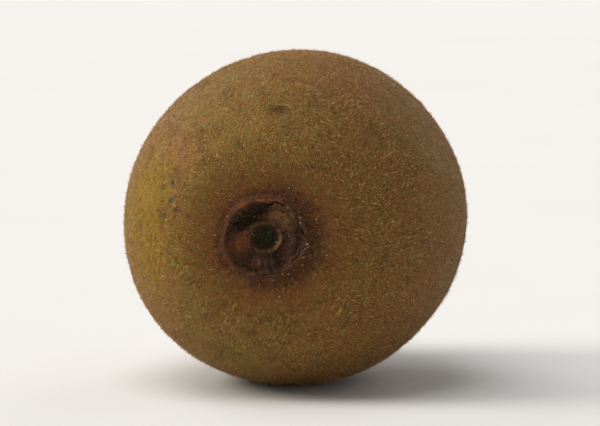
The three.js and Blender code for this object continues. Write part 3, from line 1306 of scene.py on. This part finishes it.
@dataclass
class Skin:
    """The whole skin as one fine closed mesh on the CAD's form, with its small unevenness.

    The rows of the mesh stand close at both ends, from the pole out to each end's reach.
    """

    form: FruitForm
    finish: SkinFinish
    columns: int = 400
    pole: float = 0.05
    stem_reach: float = 8.6
    stem_step: float = 0.12
    flower_reach: float = 5.6
    flower_step: float = 0.2
    body_rows: int = 134
    swells: Lumps = Lumps(0.10, 11.0, 3, 2)
    dimples: Lumps = Lumps(0.035, 2.6, 11, 2)
    cork_grain: Lumps = Lumps(0.13, 0.85, 23, 2)
    cork_lumps: Lumps = Lumps(0.065, 2.2, 29)
    cork_disc: Girdle = Girdle(End.STEM, outer=(5.9, 6.9))
    torn: Lumps = Lumps(0.22, 0.8, 31, 2)
    torn_lip: float = 0.7
    pith: Lumps = Lumps(0.14, 0.4, 37, 2)
    pith_disc: Girdle = Girdle(End.STEM, outer=(1.5, 2.1))
    wander: Lumps = Lumps(3.0, 2.4, 41)
    creases: Wave = Wave(31, 0.035, 0.0, 1.0)
    crease_breaks: Lumps = Lumps(1.0, 1.7, 47)
    crease_ring: Girdle = Girdle(End.STEM, (5.9, 6.6), (7.4, 10.5))
    puckers: Wave = Wave(21, 0.0455, 0.0, 1.2)
    pucker_ring: Girdle = Girdle(End.FLOWER, (1.6, 3.2), (4.4, 8.5))
    nick_depth: float = 0.3
    ray_count: float = 6.0
    ray_length: float = 3.0
    shift: np.ndarray = field(init=False)
    t: np.ndarray = field(init=False)
    angle: np.ndarray = field(init=False)
    grown: np.ndarray = field(init=False)

    def __post_init__(self) -> None:
        """Lays out the grid and sets the fruit down where the CAD's node lies."""
        form = self.form
        stem = form.stem_t(np.arange(self.pole, self.stem_reach, self.stem_step))
        flower = form.flower_t(np.arange(self.pole, self.flower_reach, self.flower_step))[::-1]
        body = np.linspace(stem[-1], flower[0], self.body_rows + 2)[1:-1]
        self.t = np.concatenate([stem, body, flower])[:, None]
        self.angle = np.arange(self.columns)[None] * TAU / self.columns
        self.grown = form.surface(self.t, self.angle)
        low, high = (np.array(corner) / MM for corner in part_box(NODE))
        own_low, own_high = self.grown.min((0, 1)), self.grown.max((0, 1))
        across = (low[0] + high[0] - own_low[0] - own_high[0]) / 2
        self.shift = np.array([across, low[1] - own_low[1], -(own_low[2] + form.rest_depth)])

    @property
    def button(self) -> Place:
        """Centre of the stem button."""
        return tuple(self.at(self.t[:1, 0], np.array([0.0])).points[0])

    def at(self, t: np.ndarray, angle: np.ndarray) -> Roots:
        """The fine skin at any polar angles and angles round the axis.

        Each point of the form moves out along its normal by the unevenness; nothing goes below the
        floor, so the rest spot is flat.

        Args:
            t: Polar angles.
            angle: Angles round the axis.

        Returns:
            The points with the form's normals and its tangents towards the flower end.
        """
        grown = self.form.surface(t, angle)
        normals, flow = self.form.directions(t, angle)
        points = grown + self.shift + normals * self.unevenness(grown, t, angle)[..., None]
        points[..., 2] = np.maximum(points[..., 2], 0.0)
        return Roots(points, normals, flow)

    def unevenness(self, grown: np.ndarray, t: np.ndarray, angle: np.ndarray) -> np.ndarray:
        """Height along the normals: swells, dimples, cork in the button, creases at both ends, the nick.

        The cork is noise, torn along the rays on its raised edges and finer in the pith. A crease or
        pucker is a cosine round the axis whose phase wanders, and the nick is exp(-(distance)^2) deep.

        Args:
            grown: The form's points.
            t: Their polar angles.
            angle: Their angles round the axis.

        Returns:
            The heights in millimetres.
        """
        form, radius = self.form, self.form.radius(t)
        scuffs = self.swells.at(grown) + self.dimples.at(grown)
        edges = form.scar_rim.at(radius) + self.torn_lip * form.lip.at(radius)
        cork = self.cork_grain.at(grown) + self.cork_lumps.at(grown)
        cork = cork + edges * self.torn.at(self.rays(radius, angle))
        cork = cork + self.pith.at(grown) * self.pith_disc.at(t, radius)
        corky = self.cork_disc.at(t, radius)
        wander = self.wander.at(grown)
        creases = self.creases.at(angle, wander) * (1 + self.crease_breaks.at(grown))
        creases = creases * self.crease_ring.at(t, radius)
        puckers = self.puckers.at(angle, wander) * self.pucker_ring.at(t, radius)
        off = (grown + self.shift - self.finish.nick_centre) / self.finish.nick_reach
        nick = self.nick_depth * np.exp(-(off**2).sum(-1))
        return scuffs * (1 - corky) + cork * corky + creases + puckers - nick

    def rays(self, radius: np.ndarray, angle: np.ndarray) -> np.ndarray:
        """A pattern place that changes fast round the axis and slowly along it.

        The place is (k cos, k sin, r / l), where k is the ray count and l the ray length.

        Args:
            radius: Distances from the pole.
            angle: Angles round the axis.

        Returns:
            The places, shape (..., 3).
        """
        turn = [self.ray_count * np.cos(angle), self.ray_count * np.sin(angle), radius / self.ray_length]
        return np.stack(np.broadcast_arrays(*turn), axis=-1)

    def share(self, girdle: Girdle) -> np.ndarray:
        """How much of a ring of skin lies at each point of the grid."""
        return girdle.at(self.t, self.form.radius(self.t)) + 0 * self.angle

    def scatter(self, count: int, rng: np.random.Generator, density: np.ndarray) -> Roots:
        """Random places on the skin: a cell by area times density, then a random place in the cell.

        Args:
            count: How many places.
            rng: Source of the draws.
            density: The relative number of places at each point of the grid.

        Returns:
            The places.
        """
        around = np.roll(self.grown, -1, axis=1) - self.grown
        area = np.linalg.norm(np.cross(np.diff(self.grown, axis=0), around[:-1]), axis=-1)
        weight = (area * density[:-1]).ravel()
        cell = rng.choice(weight.size, count, p=weight / weight.sum())
        row, column = np.divmod(cell, self.columns)
        share, turn = rng.random(count), rng.random(count)
        t = self.t[row, 0] * (1 - share) + self.t[row + 1, 0] * share
        return self.at(t, (column + turn) * TAU / self.columns)

    def build(self) -> None:
        """Makes the closed mesh: rows of quads and a fan at each pole, with measures of both ends."""
        grid = self.at(self.t, self.angle).points
        points = np.concatenate([grid.reshape(-1, 3), grid[[0, -1]].mean(1)])
        piece = make_mesh("fine_skin", points, ring_faces(*grid.shape[:2]))
        for name, values in self.measures().items():
            flat = values.reshape(-1, *values.shape[2:])
            hold(piece, name, np.concatenate([flat, values[[0, -1]].mean(1)]))
        wear(piece, self.finish.material(self.button))

    def measures(self) -> dict[str, np.ndarray]:
        """What the finish needs to know at each vertex: distance from both ends, sepals, lip and rays.

        Returns:
            The values on the grid, by name.
        """
        form, far = self.form, 2 * self.form.mean_radius
        radius = form.radius(self.t) + 0 * self.angle
        is_stem = np.cos(self.t) > 0
        return {
            "button_radius": np.where(is_stem, radius, far - radius),
            "flower_radius": np.where(is_stem, far - radius, radius),
            "sepal": is_stem * form.sepal.at(radius) / form.sepal.height * form.sepals_at(self.angle),
            "lip": is_stem * form.lip_at(radius, self.angle) / form.lip.height,
            "rays": self.rays(radius, self.angle),
        }


@dataclass(frozen=True)
class Strands:
    """One kind of fine curved strand: its finish, how many, and how long, thick and slanted they are.

    The taper holds the thickness at each level along a strand; a last level of 0 makes a pointed tip.
    """

    name: str
    finish: HairFinish | DriedFinish
    count: int
    length: Span
    width: Span
    slant: Span
    seed: int
    taper: tuple[float, ...] = (1.0, 0.75, 0.0)
    sides: int = 3
    sink: float = 0.06
    crook: float = 0.0
    clearance: float = 0.04

    def plant(self, skin: Skin, density: np.ndarray, stray: float | None = None) -> None:
        """Scatters the strands over the skin and makes the piece.

        Args:
            skin: What they stand on.
            density: The relative number of strands at each point of the skin's grid.
            stray: How far their bends stray from the way to the flower end, or None for any way.
        """
        rng = np.random.default_rng(self.seed)
        roots = skin.scatter(self.count, rng, density)
        turns = rng.uniform(0, TAU, self.count) if stray is None else stray * rng.normal(size=self.count)
        self.grow(roots, turns, rng)

    def grow(self, roots: Roots, turns: np.ndarray, rng: np.random.Generator) -> None:
        """Makes the piece: each strand rises from its sunken root and bends over.

        At the share s of its length a strand has risen length s (1 - s/3) cos(slant) and reached
        length s^1.3 sin(slant). Crooked ones stray from that at random, and none goes below the floor.

        Args:
            roots: Where the strands grow.
            turns: The way each one bends, as an angle from the way to the flower end.
            rng: Source of the draws.
        """
        length = rng.uniform(*self.length, (self.count, 1, 1))
        slant = np.radians(rng.uniform(*self.slant, (self.count, 1, 1)))
        share = np.linspace(0, 1, len(self.taper))[None, :, None]
        rise = roots.normals[:, None] * (length * np.cos(slant) * share * (1 - share / 3) - self.sink)
        reach = roots.turned(turns)[:, None] * (length * np.sin(slant) * share**1.3)
        paths = roots.points[:, None] + rise + reach
        paths[:, 1:] += self.crook * rng.normal(size=paths[:, 1:].shape)
        paths[..., 2] = np.maximum(paths[..., 2], self.clearance)
        radii = rng.uniform(*self.width, (self.count, 1)) / 2 * np.array(self.taper)
        points, faces = tapered_tubes(paths, radii, self.sides, pointed=self.taper[-1] == 0)
        wear(make_mesh(self.name, points, faces), self.finish.material())


# How much denser (or, below 0, sparser) the hairs of each tone stand close round the button
GATHERING = {Tone.RUST: 1.2, Tone.UMBER: 0.5, Tone.TAN: -0.45, Tone.STRAW: -0.55}


@dataclass
class Fuzz:
    """The short fuzz all over the skin: several coats of fine hairs that lie to the flower end.

    Of more candidates than needed, a coat mostly keeps those in its own patches and tufts. The hairs
    bend by a broad swirl, a finer turn for each tuft and a random stray.
    """

    skin: Skin
    stem_edge: Girdle = Girdle(End.STEM, (6.5, 7.6))
    flower_edge: Girdle = Girdle(End.FLOWER, (2.0, 3.4))
    rest_edge: Span = (0.05, 0.6)
    rusting: Girdle = Girdle(End.STEM, outer=(7.0, 15.5))
    down_taper: tuple[float, ...] = (1.0, 0.0)
    swirl: Lumps = Lumps(math.radians(80), 9.0, 71)
    tuft_turn: Lumps = Lumps(math.radians(60), 1.6, 73)
    stray: float = math.radians(16)
    candidates: int = 3
    patches: Lumps = Lumps(0.5, 4.5, 10, 2)
    tufts: Lumps = Lumps(2.2, 0.8, 20)

    def coats(self) -> list[Strands]:
        """The kinds of hair: three coats of fuzz over three coats of finer down.

        Returns:
            The coats.
        """
        rust, umber, tan, straw = map(HairFinish, (Tone.RUST, Tone.UMBER, Tone.TAN, Tone.STRAW))
        down = self.down_taper
        return [
            Strands("fuzz_tan", tan, 13500, (0.50, 1.25), (0.058, 0.070), (45, 84), 102),
            Strands("fuzz_straw", straw, 12500, (0.45, 1.25), (0.050, 0.062), (22, 84), 103),
            Strands("fuzz_rust", rust, 10000, (0.32, 0.80), (0.068, 0.082), (50, 82), 101),
            Strands("down_rust", rust, 30000, (0.25, 0.60), (0.064, 0.076), (30, 78), 105, down),
            Strands("down_umber", umber, 29000, (0.25, 0.60), (0.058, 0.070), (35, 80), 104, down),
            Strands("down_tan", tan, 30000, (0.22, 0.55), (0.050, 0.062), (15, 75), 106, down),
        ]

    def build(self) -> None:
        """Makes one piece for each coat, with none in the button, the flower pit and the rest spot."""
        height = self.skin.grown[..., 2] + self.skin.shift[2]
        clear = self.skin.share(self.stem_edge) + self.skin.share(self.flower_edge)
        clear = clear * smooth(height, *self.rest_edge)
        near = self.skin.share(self.rusting)
        for coat in self.coats():
            rng = np.random.default_rng(coat.seed)
            density = clear * (1 + GATHERING[coat.finish.tone] * near)
            every = self.skin.scatter(self.candidates * coat.count, rng, density)
            patches, tufts = self.patches.sown(coat.seed), self.tufts.sown(coat.seed)
            weight = np.exp(patches.at(every.points) + tufts.at(every.points))
            kept = rng.choice(len(weight), coat.count, replace=False, p=weight / weight.sum())
            roots = every.chosen(kept)
            turns = self.swirl.at(roots.points) + self.tuft_turn.at(roots.points)
            coat.grow(roots, turns + self.stray * rng.normal(size=coat.count), rng)


@dataclass
class Sepals:
    """The dried sepals pressed into the button, each a thin closed sheet over the skin's own surface."""

    skin: Skin
    inner: float = 2.75
    outer: float = 5.75
    spread: float = math.radians(37)
    thickness: float = 0.15
    lift: float = 0.06
    curl: float = 0.28
    grid: tuple[int, int] = (26, 34)
    scale: tuple[float, float] = (3.2, 2.4)
    layer: float = 9.0
    fibre: Place = (2.2, 0.5, 1.0)
    tatters: tuple[Lumps, ...] = (Lumps(0.28, 0.4, 401), Lumps(0.35, 1.4, 403))
    foot: Lumps = Lumps(0.25, 0.9, 407)
    side: Lumps = Lumps(0.2, 0.6, 409)
    side_place: Place = (2.0, 0.0, 0.0)
    crumple: Lumps = Lumps(0.1, 1.1, 411, 2)
    ribs: Lumps = Lumps(0.03, 0.35, 417)
    rib_run: Place = (1.0, 0.2, 1.0)
    lifting: Lumps = Lumps(1.4, 1.5, 413)
    mean_lifting: float = 0.4
    finish: DriedFinish = DriedFinish("dried_sepal", "#33221a", "#573826", "#7a5434")

    def build(self) -> None:
        """Makes the piece from one sheet for each sepal."""
        points, faces, grain = [], [], []
        for number, centre in enumerate(self.skin.form.sepal_angles):
            sheet, blocks, pattern = self.sheet(centre, self.layer * number)
            faces += [block + sum(map(len, points)) for block in blocks]
            points.append(sheet)
            grain.append(np.tile((pattern * self.fibre).reshape(-1, 3), (2, 1)))
        piece = make_mesh("dried_sepals", np.concatenate(points), faces)
        hold(piece, "fibre", np.concatenate(grain))
        wear(piece, self.finish.material(self.skin.button))

    def sheet(self, centre: float, layer: float) -> tuple[np.ndarray, list[np.ndarray], np.ndarray]:
        """One sepal from the scar to the lip: ragged ends, a crumple, ribs outwards and curled edges.

        The noises read a flat pattern place: across and along the sepal, and the sepal's own layer.
        At the share a of its length it is spread (0.86 + 0.35 sin 2.6a) (1 - 0.3 a^3) wide, times a
        noise. The place c across it, from -1 to 1, curls up by c^6 / 2 and its outer end by a^5, times
        a noise, and it thins to its sides by the root of 1 - c^8.

        Args:
            centre: Its angle round the axis.
            layer: The place of its own pattern, apart from the other sepals' patterns.

        Returns:
            Its vertices, its faces in blocks of one size, and the pattern's place at each grid point.
        """
        rows, columns = self.grid
        along = np.linspace(0, 1, rows)[:, None]
        across = np.linspace(-1, 1, columns)[None]
        place = (self.scale[0] * across, self.scale[1] * along, layer)
        pattern = np.stack(np.broadcast_arrays(*place), axis=-1)
        sideways, lengthways = pattern * [1, 0, 1], pattern * [0, 1, 1]
        reach = self.outer - self.inner + sum(tatter.at(sideways) for tatter in self.tatters)
        radius = self.inner + reach * along + self.foot.at(sideways) * (1 - along)
        width = self.spread * (0.86 + 0.35 * np.sin(2.6 * along)) * (1 - 0.3 * along**3)
        width = width * (1 + self.side.at(lengthways + self.side_place))
        base = self.skin.at(self.skin.form.stem_t(radius), centre + across * width)
        crumple = self.crumple.at(pattern) + self.ribs.at(pattern * self.rib_run)
        lifted = self.mean_lifting + self.lifting.at(pattern)
        height = self.lift + crumple + self.curl * (0.5 * across**6 + along**5) * lifted
        half = self.thickness / 2 * np.sqrt(np.clip(1 - across**8, 0.1, 1))
        top = base.points + base.normals * (height + half)[..., None]
        under = base.points + base.normals * (height - half)[..., None]
        return *closed_sheet(top, under), pattern


@dataclass
class Crumbs:
    """Crumbs of cork and lint: short lumpy spindles, most in and by the button on its lower right."""

    skin: Skin
    count: int = 95
    seed: int = 223
    sides: int = 6
    size: Span = (0.04, 0.13)
    stretch: Span = (1.0, 2.2)
    wobble: float = 0.35
    profile: tuple[float, ...] = (0.3, 0.8, 1.0, 0.7, 0.25)
    lumpiness: Span = (0.7, 1.2)
    lower_right: float = math.radians(-35)
    lower_right_spread: float = math.radians(75)
    places: tuple[tuple[float, Girdle], ...] = (
        (0.15, Girdle(End.STEM, outer=(8.0, 10.5))),
        (0.006, Girdle(End.STEM, outer=(14.0, 20.0))),
    )
    crowded: Girdle = Girdle(End.STEM, (2.4, 4.0), (8.0, 10.5))
    finish: DriedFinish = DriedFinish("cork_crumb", "#8a7050", "#b59a70", "#d9c6a2", (0.2, 0.2, 0.2))

    def build(self) -> None:
        """Makes the piece: each crumb is a tube along a short wobbly path that is raised at its ends.

        The path runs through s from -1 to 1 and stands (1 + s^2) / 2 of the crumb's size high.
        """
        rng, levels = np.random.default_rng(self.seed), len(self.profile)
        near = sector(self.skin.angle, self.lower_right, self.lower_right_spread)
        density = near * self.skin.share(self.crowded)
        density = density + sum(share * self.skin.share(girdle) for share, girdle in self.places)
        roots = self.skin.scatter(self.count, rng, density)
        size = rng.uniform(*self.size, self.count)
        share = np.linspace(-1, 1, levels)[None, :, None]
        along = roots.turned(rng.uniform(0, TAU, self.count))[:, None] * share
        lift = roots.normals[:, None] * (0.5 + 0.5 * share**2)
        wobble = self.wobble * rng.normal(size=(self.count, levels, 3))
        stretch = rng.uniform(*self.stretch, self.count)[:, None, None]
        paths = roots.points[:, None] + size[:, None, None] * (stretch * along + lift + wobble)
        lumps = np.array(self.profile) * rng.uniform(*self.lumpiness, (self.count, levels))
        points, faces = tapered_tubes(paths, size[:, None] * lumps, self.sides, pointed=False)
        wear(make_mesh("cork_crumbs", points, faces), self.finish.material())


@dataclass
class StemButton:
    """The loose parts of the stem button: sepals, torn fibres in the scar, a fringe and corky crumbs.

    The fibres are short crooked stubs that stand in the scar's pit. The fringe is of longer rusty
    bristles on the lip's outer foot, which lean outwards.
    """

    skin: Skin
    fibres: Strands = Strands(
        "scar_fibres",
        DriedFinish("torn_fibre", "#26251d", "#43442f", "#6d6e52", (0.12, 0.5, 0.12)),
        count=46,
        length=(0.25, 0.7),
        width=(0.1, 0.24),
        slant=(0, 50),
        seed=197,
        taper=(1.2, 1.0, 0.9, 0.75, 0.4),
        sides=5,
        sink=0.15,
        crook=0.04,
    )
    scar: Girdle = Girdle(End.STEM, outer=(1.6, 1.85))
    bristles: Strands = Strands(
        "button_bristles",
        HairFinish(Tone.RUST),
        count=1500,
        length=(0.4, 1.25),
        width=(0.04, 0.07),
        slant=(25, 80),
        seed=211,
        taper=(1.0, 0.85, 0.55, 0.0),
        sink=0.08,
    )
    foot: Girdle = Girdle(End.STEM, (6.0, 6.6), (7.2, 9.5))
    bristle_stray: float = math.radians(35)

    def build(self) -> None:
        """Makes the four pieces."""
        Sepals(self.skin).build()
        self.fibres.plant(self.skin, self.skin.share(self.scar))
        self.bristles.plant(self.skin, self.skin.share(self.foot), self.bristle_stray)
        Crumbs(self.skin).build()


@dataclass
class Styles:
    """The dried styles, shrivelled where the CAD has plain stubs, at the same places.

    Each of the rings holds a number of styles, the radius where they stand, their lean and height.
    """

    skin: Skin
    rings: tuple[tuple[int, float, float, float], ...] = (
        (5, 0.8, math.radians(8), 2.1),
        (11, 1.9, math.radians(20), 1.8),
    )
    root_width: float = 0.76
    height_spread: float = 0.7
    lean_spread: float = 0.14
    sink: float = 0.6
    seed: int = 7
    levels: int = 18
    sides: int = 14
    sway: float = 0.24
    sway_waves: float = 5.5
    sway_turns: float = 3.0
    fold: float = 0.9
    fold_turns: float = 5.0
    profile: tuple[tuple[float, ...], ...] = ((0, 0.3, 0.6, 0.85, 1), (1.0, 0.9, 0.72, 0.55, 0.15))
    shrivel: tuple[Lumps, ...] = tuple(Lumps(0.17, 0.45, seed, 2) for seed in (61, 67, 79))
    finish: DriedFinish = DriedFinish("dried_style", "#2e1f16", "#573a24", "#835c36", (0.25, 1.0, 0.25))

    def stubs(self) -> np.ndarray:
        """The CAD's stubs, drawn in its order, ring by ring.

        Returns:
            A row for each stub: the radius where it stands, its angle, its lean and its height.
        """
        draw = repeatable_draws(self.seed)
        rows = []
        for count, radius, lean, height in self.rings:
            for i in range(count):
                angle = (i + 0.5 * draw()) * TAU / count
                tall = height + (draw() - 0.5) * self.height_spread
                rows.append((radius, angle, lean + (draw() - 0.5) * self.lean_spread, tall))
        return np.array(rows)

    def build(self) -> None:
        """Makes the piece: styles that sway, fold over at the tip and are shrivelled all over.

        A style's path leaves its stub's straight line by a sine aside, which grows with the share s
        of its height, and by a fold of s^3. Both go by its angle, so no two styles are alike. Its
        thickness follows the profile, and the shrivel adds noise along X, Y and Z.
        """
        radius, angle, lean, height = self.stubs().T
        outward = np.stack([np.cos(angle), np.zeros_like(angle), np.sin(angle)], axis=-1)
        aside = np.stack([-np.sin(angle), np.zeros_like(angle), np.cos(angle)], axis=-1)
        axis = outward * np.sin(lean)[:, None] + np.array([0.0, 1.0, 0.0]) * np.cos(lean)[:, None]
        roots = self.skin.form.surface(self.skin.form.flower_t(radius), angle) + self.skin.shift
        share = np.linspace(0, 1, self.levels)[None, :, None]
        rise = (height + self.sink)[:, None, None] * share - self.sink
        phase = self.sway_turns * angle[:, None, None]
        sway = self.sway * np.sin(self.sway_waves * share + phase) * share
        turn = (self.fold_turns * angle + radius)[:, None]
        fold = self.fold * (outward * np.cos(turn) + aside * np.sin(turn))[:, None] * share**3
        paths = roots[:, None] + axis[:, None] * rise + aside[:, None] * sway + fold
        radii = self.root_width / 2 * np.interp(share[..., 0], *self.profile) + 0 * radius[:, None]
        points, faces = tapered_tubes(paths, radii, self.sides, pointed=False)
        points += np.stack([lumps.at(points) for lumps in self.shrivel], axis=-1)
        wear(make_mesh("dried_styles", points, faces), self.finish.material())


@dataclass
class FlowerEnd:
    """The dried flower parts: the styles, and a ring of thin stamen threads bent over the pit's rim."""

    skin: Skin
    threads: Strands = Strands(
        "stamen_threads",
        HairFinish(Tone.BARK),
        count=150,
        length=(0.9, 2.5),
        width=(0.08, 0.15),
        slant=(5, 60),
        seed=307,
        taper=tuple(np.linspace(1.0, 0.5, 7)),
        sides=5,
        sink=0.1,
    )
    rim: Girdle = Girdle(End.FLOWER, (1.6, 2.4), (2.8, 3.6))

    def build(self) -> None:
        """Makes both pieces."""
        Styles(self.skin).build()
        self.threads.plant(self.skin, self.skin.share(self.rim))


# ---- Studio -------------------------------------------------------------------------------------


def compass(azimuth: float, elevation: float) -> Vector:
    """The direction towards a place: azimuth 0 is -Y and 90 is +X, in degrees."""
    a, e = math.radians(azimuth), math.radians(elevation)
    return Vector((math.sin(a) * math.cos(e), -math.cos(a) * math.cos(e), math.sin(e)))


def aim(piece: bpy.types.Object, target: Vector) -> None:
    """Turns a lamp or camera so that it looks at a point."""
    piece.rotation_euler = (target - piece.location).to_track_quat("-Z", "Y").to_euler()


@dataclass(frozen=True)
class SoftLight:
    """An even, parallel light from one broad part of the room: as wide as its spread, in degrees."""

    name: str
    azimuth: float
    elevation: float
    spread: float
    strength: float
    tint: str = "#ffffff"

    def build(self, target: Vector) -> None:
        """Hangs the light and aims it; only its direction counts.

        Args:
            target: The point it looks at.
        """
        lamp = bpy.data.lights.new(self.name, "SUN")
        lamp.angle = math.radians(self.spread)
        lamp.energy = self.strength
        lamp.color = linear(self.tint)[:3]
        piece = bpy.data.objects.new(self.name, lamp)
        bpy.context.collection.objects.link(piece)
        piece.location = target + compass(self.azimuth, self.elevation)
        aim(piece, target)


@dataclass
class Studio:
    """A pale floor that curves up into a backdrop all round, soft lights and the camera.

    The floor's sizes and the lens are in millimetres, and the camera's distances are in metres.
    """

    target: Vector
    floor_reach: float = 2600.0
    floor_flat: float = 1200.0
    backdrop_height: float = 500.0
    floor_rings: int = 40
    floor_segments: int = 96
    floor_drop: float = 0.02
    lights: tuple[SoftLight, ...] = (
        SoftLight("overhead", -55, 74, 46, 1.5),
        SoftLight("key", -78, 32, 32, 2.1, "#fff8ee"),
        SoftLight("fill_right", 105, 24, 36, 0.15),
        SoftLight("fill_back_left", -135, 30, 36, 0.87),
        SoftLight("fill_back_right", 150, 30, 36, 0.5),
    )
    sky: float = 0.21
    sky_tint: str = "#f7f7f7"
    azimuth: float = 8.3
    elevation: float = 6.2
    distance: float = 0.64
    nearest: float = 0.01
    lens: float = 240.0

    def build(self) -> None:
        """Makes everything round the fruit."""
        self.build_floor()
        for light in self.lights:
            light.build(self.target)
        world = bpy.data.worlds.new("pale_room")
        world.use_nodes = True
        sky = world.node_tree.nodes["Background"]
        sky.inputs["Color"].default_value = linear(self.sky_tint)
        sky.inputs["Strength"].default_value = self.sky
        bpy.context.scene.world = world
        bpy.context.scene.view_settings.view_transform = "Standard"
        self.build_camera()

    def build_floor(self) -> None:
        """A round sheet of rings and a middle fan, flat to floor_flat, then rising by the square.

        The backdrop casts no shadow, so the low lights reach the whole floor.
        """
        ring = (np.arange(1, self.floor_rings + 1) / self.floor_rings)[:, None] * self.floor_reach
        turn = np.arange(self.floor_segments)[None] * TAU / self.floor_segments
        climb = np.clip((ring - self.floor_flat) / (self.floor_reach - self.floor_flat), 0, 1) ** 2
        height = self.backdrop_height * climb - self.floor_drop + 0 * turn
        points = np.stack([ring * np.cos(turn), ring * np.sin(turn), height], axis=-1).reshape(-1, 3)
        points = np.concatenate([points, [[0.0, 0.0, -self.floor_drop]]])
        floor = make_mesh("studio_floor", points, ring_faces(self.floor_rings, self.floor_segments)[:2])
        floor.data.materials.append(FloorFinish().material())
        floor.visible_shadow = False

    def build_camera(self) -> None:
        """A long lens that looks at the fruit's middle."""
        lens = bpy.data.cameras.new("camera")
        lens.lens = self.lens
        lens.clip_start = self.nearest
        camera = bpy.data.objects.new("camera", lens)
        bpy.context.collection.objects.link(camera)
        camera.location = self.target + compass(self.azimuth, self.elevation) * self.distance
        aim(camera, self.target)
        bpy.context.scene.camera = camera


# ---- Making it ----------------------------------------------------------------------------------


def main() -> None:
    """Builds the fruit and its studio."""
    logging.basicConfig(level=logging.INFO, format="%(name)s: %(message)s")
    low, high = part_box(NODE)
    skin = Skin(FruitForm(), SkinFinish())
    skin.build()
    Fuzz(skin).build()
    StemButton(skin).build()
    FlowerEnd(skin).build()
    Studio((low + high) / 2).build()


if __name__ == "__main__":
    main()
